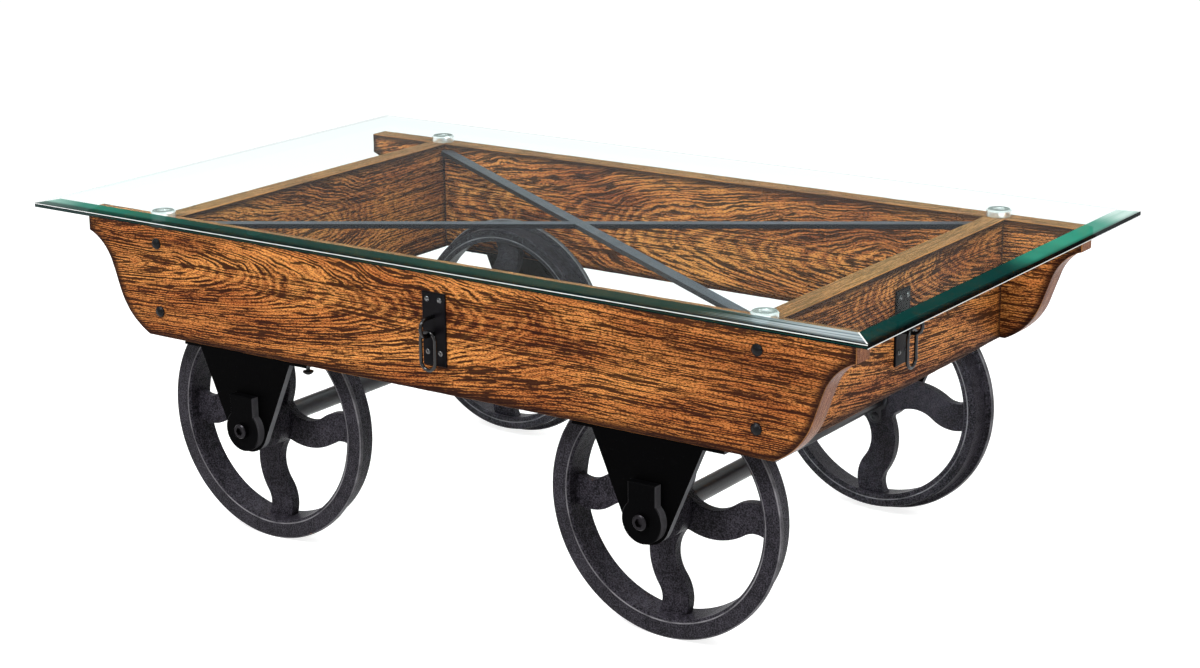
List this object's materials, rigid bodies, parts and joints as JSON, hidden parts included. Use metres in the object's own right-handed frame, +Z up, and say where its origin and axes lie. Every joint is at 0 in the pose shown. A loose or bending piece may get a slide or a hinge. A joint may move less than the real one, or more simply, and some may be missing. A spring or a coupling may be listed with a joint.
{
  "type": "coffee table",
  "caption": "Glass-topped coffee table built like a factory cart: wide timber frame with ogee ends on flanged, S-spoked cast iron wheels.",
  "frame": {"origin": "on the floor, under the middle of the table", "axes": "+X along the long side, +Y from the front side to the back side, +Z up"},
  "size_m": [1.22, 0.719, 0.4285],
  "materials": {
    "timber": "open-grained brown oak under satin lacquer",
    "glass": "clear polished sheet with a ground bevel",
    "polished_metal": "polished",
    "zinc_steel": "bright zinc",
    "black_bolts": "satin black",
    "black_hanger": "satin black",
    "black_ironwork": "semi-gloss black",
    "dark_steel": "dark grey, lightly worn",
    "cast_iron": "sand-cast, charcoal, edges worn bright",
    "bush_bronze": "turned bearing bronze"
  },
  "bodies": {
    "cart_frame": {"front_side_board": "timber", "back_side_board": "timber", "left_end_board": "timber", "right_end_board": "timber", "long_brace_bar": "dark_steel", "cross_brace_bar": "dark_steel", "corner_bolts": "black_bolts", "bolt_inserts": "zinc_steel", "glass_top": "glass", "glass_spacer_front_left": "polished_metal", "glass_spacer_front_right": "polished_metal", "glass_spacer_back_left": "polished_metal", "glass_spacer_back_right": "polished_metal", "spacer_screws": "zinc_steel", "axle_hanger_front_left": "black_hanger", "axle_hanger_front_right": "black_hanger", "axle_hanger_back_left": "black_hanger", "axle_hanger_back_right": "black_hanger", "flange_screws": "black_bolts", "end_block_front_left": "black_hanger", "end_block_front_right": "black_hanger", "end_block_back_left": "black_hanger", "end_block_back_right": "black_hanger", "end_bolts": "zinc_steel", "left_axle": "dark_steel", "right_axle": "dark_steel", "thrust_collars": "dark_steel", "hook_plate_front": "black_ironwork", "hook_staple_front": "black_ironwork", "hook_plate_right": "black_ironwork", "hook_staple_right": "black_ironwork", "hook_plate_back": "black_ironwork", "hook_staple_back": "black_ironwork", "hook_plate_left": "black_ironwork", "hook_staple_left": "black_ironwork", "plate_screws": "black_bolts"},
    "wheel_set_front_left": {"wheel_front_left": "cast_iron", "hub_bush_front_left": "bush_bronze", "hub_keeper_front_left": "cast_iron", "keeper_screws_front_left": "zinc_steel"},
    "wheel_set_front_right": {"wheel_front_right": "cast_iron", "hub_bush_front_right": "bush_bronze", "hub_keeper_front_right": "cast_iron", "keeper_screws_front_right": "zinc_steel"},
    "wheel_set_back_left": {"wheel_back_left": "cast_iron", "hub_bush_back_left": "bush_bronze", "hub_keeper_back_left": "cast_iron", "keeper_screws_back_left": "zinc_steel"},
    "wheel_set_back_right": {"wheel_back_right": "cast_iron", "hub_bush_back_right": "bush_bronze", "hub_keeper_back_right": "cast_iron", "keeper_screws_back_right": "zinc_steel"},
    "link_front": {"hook_link_front": "black_ironwork"},
    "link_right": {"hook_link_right": "black_ironwork"},
    "link_back": {"hook_link_back": "black_ironwork"},
    "link_left": {"hook_link_left": "black_ironwork"}
  },
  "joints": [
    {"name": "wheel_turn_front_left", "type": "hinge", "parent": "cart_frame", "child": "wheel_set_front_left", "pos_m": [-0.304, -0.2725, 0.157], "axis": [0, 1, 0], "continuous": true},
    {"name": "wheel_turn_front_right", "type": "hinge", "parent": "cart_frame", "child": "wheel_set_front_right", "pos_m": [0.304, -0.2725, 0.157], "axis": [0, 1, 0], "continuous": true},
    {"name": "wheel_turn_back_left", "type": "hinge", "parent": "cart_frame", "child": "wheel_set_back_left", "pos_m": [-0.304, 0.2725, 0.157], "axis": [0, 1, 0], "continuous": true},
    {"name": "wheel_turn_back_right", "type": "hinge", "parent": "cart_frame", "child": "wheel_set_back_right", "pos_m": [0.304, 0.2725, 0.157], "axis": [0, 1, 0], "continuous": true},
    {"name": "link_swing_front", "type": "hinge", "parent": "cart_frame", "child": "link_front", "pos_m": [0.0044, -0.3215, 0.3306], "axis": [0, 1, 0], "range_deg": [-120, 120]},
    {"name": "link_swing_right", "type": "hinge", "parent": "cart_frame", "child": "link_right", "pos_m": [0.47725, 0, 0.3306], "axis": [1, 0, 0], "range_deg": [-120, 120]},
    {"name": "link_swing_back", "type": "hinge", "parent": "cart_frame", "child": "link_back", "pos_m": [0, 0.3215, 0.3306], "axis": [0, 1, 0], "range_deg": [-120, 120]},
    {"name": "link_swing_left", "type": "hinge", "parent": "cart_frame", "child": "link_left", "pos_m": [-0.47725, 0, 0.3306], "axis": [1, 0, 0], "range_deg": [-120, 120]}
  ]
}
